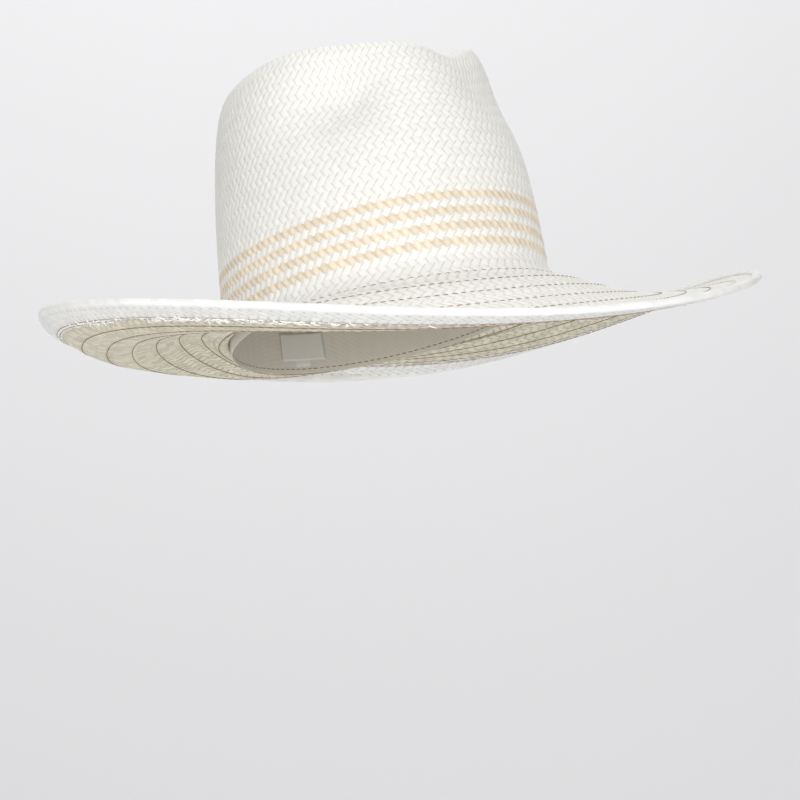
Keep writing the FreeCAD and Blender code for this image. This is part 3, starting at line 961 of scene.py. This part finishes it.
# A lighter copy of the white straw: painted light on the rolled rim.
painted_light_rim_straw = straw_material("straw_white_rim_painted_light", (0.95, 0.945, 0.92), (0.64, 0.62, 0.54),
                           rough=0.6, streak=0.10)
tan = straw_material("straw_tan", (0.97, 0.90, 0.77), (0.80, 0.60, 0.38),
                     rough=0.5, streak=0.15, spread=1.0)
fray_white = thread_material("frayed_straw", (0.97, 0.965, 0.94), (0.90, 0.89, 0.84))
thread = thread_material("thread_brown", (0.42, 0.28, 0.16), (0.23, 0.145, 0.075))
pale_thread = thread_material("thread_pale", (0.78, 0.72, 0.62), (0.60, 0.52, 0.42))
ribbon = cloth_material("band_ribbon", (0.80, 0.76, 0.66), 420.0)
tape = cloth_material("fine_tape", (0.90, 0.88, 0.82), 900.0)

# Crown, with the straw inside it in the darker copy of the straw, which is painted shade.
crown_pieces, tan_pieces = crown()
for piece, outside, inside in crown_pieces:
    place(piece, ["crown_shell"], "straw_white", white)
    piece.data.materials.append(painted_shade_straw)
    slots = np.zeros(len(piece.data.polygons), int)
    slots[outside:outside + inside] = 1
    piece.data.polygons.foreach_set("material_index", slots.tolist())
for strip, name in tan_pieces:
    place(strip, [name], "straw_tan", tan)

# Brim and rim.
end = BRIM_WIDTH - PLY_INSET
upper = brim_sheet("brim_upper_straw", BREAK_END, end, 0.0, UPPER_PLY - 0.05, 1.0, rows_of_brim())
place(upper, ["brim_upper"], "straw_white", white)
facing = brim_sheet("brim_facing_straw", BREAK_END + 0.5, end, UPPER_PLY + FACING_PLY + 0.06,
                    FACING_PLY - 0.05, -1.0, rows_of_brim())
# The facing under the brim takes the darker copy of the straw: painted shade.
place(facing, ["brim_facing"], "straw_white", painted_shade_straw)
# The hem takes the lighter copy of the straw: painted light on the rim.
place(hem(), ["brim_hem"], "straw_white", painted_light_rim_straw)
place(frayed_ends(), ["brim_hem"], "straw_white", fray_white)

# Thread: brown rows, and the hem's two rows, which are pale on the top.
piece, _ = stitch_row("stitches_1", 0.0, UNDER_BRIM, on_flare=True)
place(piece, ["brim_stitch_row_1"], "thread", thread)
for number, s in enumerate(rows_of_brim(), 2):
    piece, _ = stitch_row(f"stitches_{number}", s, UNDER_BRIM)
    place(piece, [f"brim_stitch_row_{number}"], "thread", thread)
for name, inset in zip(("outer", "inner"), HEM_ROWS):
    piece, dashes = stitch_row(f"stitches_hem_{name}", BRIM_WIDTH - inset, UNDER_BRIM + HEM_PLY)
    place(piece, [f"hem_stitch_{name}"], "thread", pale_thread)
    piece.data.materials.append(thread)
    slots = np.arange(len(piece.data.polygons)) >= dashes
    piece.data.polygons.foreach_set("material_index", slots.astype(int).tolist())

# Sweatband, the tape over its seam, and the label.
behind = STRAW + BAND_GAP
ribbon_piece = band("sweatband_ribbon", BAND_FOOT, BAND_HEIGHT, behind, BAND_THICKNESS)
place(ribbon_piece, ["sweatband"], "band_cloth", ribbon)
over = behind + BAND_THICKNESS + 0.1
tape_piece = patch("seam_tape", TAPE_WIDTH, BAND_STITCH + 1.5, BAND_HEIGHT - 0.5, over, TRIM)
place(tape_piece, ["sweatband_seam_tape"], "trim_cloth", tape)
label = patch("blank_label", LABEL_WIDTH, LABEL_FOOT, LABEL_FOOT + LABEL_HEIGHT, over + 0.4, TRIM)
place(label, ["size_label"], "trim_cloth", tape)

angles = even_angles(BAND_STITCHES)
foot = wall_at(BAND_STITCH, angles)
side = unit(wall_at(BAND_STITCH, angles + TURN) - foot)
inward = unit(np.cross(wall_at(BAND_STITCH + 1, angles) - foot, side))
inward = inward * np.where((inward[:, :2] * foot[:, :2]).sum(1, keepdims=True) > 0, -1.0, 1.0)
band_stitches = capsules(foot + inward * (over + 0.05), side, inward,
                         np.full(BAND_STITCHES, BAND_STITCH_LENGTH), BAND_THREAD)
place(mesh_object("stitches_band", *band_stitches), ["sweatband_stitch"], "thread", thread)

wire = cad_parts["brim_wire"]
wire.data.materials.clear()
wire.data.materials.append(wire_material())

# Camera: 1.8 m from the head opening, a little below the brim, and rolled.
AZIMUTH = radians(-32.25)
ELEVATION = radians(-11.754)
ROLL = radians(10.84)
DISTANCE = 1.8
LENS = 145.83
AIM_RIGHT = 6.2 * MM
AIM_DOWN = 41.1 * MM
back = Vector((sin(AZIMUTH) * cos(ELEVATION), -cos(AZIMUTH) * cos(ELEVATION), sin(ELEVATION)))
right = (-back).cross(Vector((0, 0, 1))).normalized()
down = (-back).cross(right)
image_right = right * cos(ROLL) + down * sin(ROLL)
image_down = right * -sin(ROLL) + down * cos(ROLL)
aim = image_right * AIM_RIGHT + image_down * AIM_DOWN
camera = bpy.data.objects.new("camera", bpy.data.cameras.new("camera"))
bpy.context.scene.collection.objects.link(camera)
camera.data.sensor_width = 36.0
camera.data.lens = LENS
turn = Matrix((image_right, -image_down, back)).transposed()
camera.matrix_world = Matrix.Translation(aim + back * DISTANCE) @ turn.to_4x4()
camera.data.clip_end = 100.0
bpy.context.scene.camera = camera

# Pale seamless floor and wall, well below the hat.
FLOOR = -2.2
FLOOR_FRONT = -6.0
FLOOR_BACK = 2.5
COVE = 1.5
WALL_TOP = 6.0
HALF_WIDTH = 7.0
flat_right = Vector((right.x, right.y, 0)).normalized()
flat_back = Vector((back.x, back.y, 0)).normalized()
profile = [(FLOOR_FRONT, FLOOR), (FLOOR_BACK, FLOOR)]
profile += [(FLOOR_BACK + COVE * sin(t), FLOOR + COVE - COVE * cos(t))
            for t in np.linspace(0.1, pi / 2, 16)]
profile += [(FLOOR_BACK + COVE, WALL_TOP)]
sweep = []
for depth, height in profile:
    for across in (-HALF_WIDTH, HALF_WIDTH):
        flat = flat_right * across - flat_back * depth
        sweep.append((flat.x, flat.y, height))
faces = [(2 * i, 2 * i + 1, 2 * i + 3, 2 * i + 2) for i in range(len(profile) - 1)]
studio = bpy.data.meshes.new("studio")
studio.from_pydata(sweep, [], faces)
studio.polygons.foreach_set("use_smooth", [True] * len(studio.polygons))
backdrop = bpy.data.objects.new("studio", studio)
bpy.context.scene.collection.objects.link(backdrop)
paper, tree, shader = nodes_of("studio_paper")
shader.inputs["Base Color"].default_value = (0.84, 0.84, 0.85, 1)
shader.inputs["Roughness"].default_value = 0.9
studio.materials.append(paper)

# Soft, even studio light.
bpy.context.scene.view_settings.view_transform = "Standard"
world = bpy.data.worlds.new("studio_light")
bpy.context.scene.world = world
world.use_nodes = True
world.node_tree.nodes["Background"].inputs["Color"].default_value = (1.0, 1.0, 1.0, 1)
world.node_tree.nodes["Background"].inputs["Strength"].default_value = 0.42


def lamp(name, spot, size, power, target=(0, 0, 0.05)):
    """A soft square light aimed at a place, the hat unless told otherwise."""
    data = bpy.data.lights.new(name, "AREA")
    data.shape = "SQUARE"
    data.size = size
    data.energy = power
    lit = bpy.data.objects.new(name, data)
    bpy.context.scene.collection.objects.link(lit)
    spot = Vector(spot)
    lit.location = spot
    lit.visible_camera = False
    lit.rotation_mode = "QUATERNION"
    lit.rotation_quaternion = (spot - Vector(target)).to_track_quat("Z", "Y")


def studio_spot(across, height, towards):
    """A place in the studio: to the camera's right, up, and from the hat towards the camera."""
    return flat_right * across + flat_back * towards + Vector((0, 0, height))


lamp("key", studio_spot(0.6, -0.05, 2.6), 1.2, 47.0)
lamp("side", studio_spot(-2.2, 0.3, 0.7), 1.2, 10.0)
lamp("bounce", studio_spot(-0.5, -1.5, 1.0), 1.4, 10.0)
lamp("overhead", studio_spot(0.4, 2.2, 0.2), 1.6, 4.0)
lamp("wall", studio_spot(0.0, 3.4, -1.2), 2.0, 70.0, studio_spot(0.0, 0.3, -4.0))
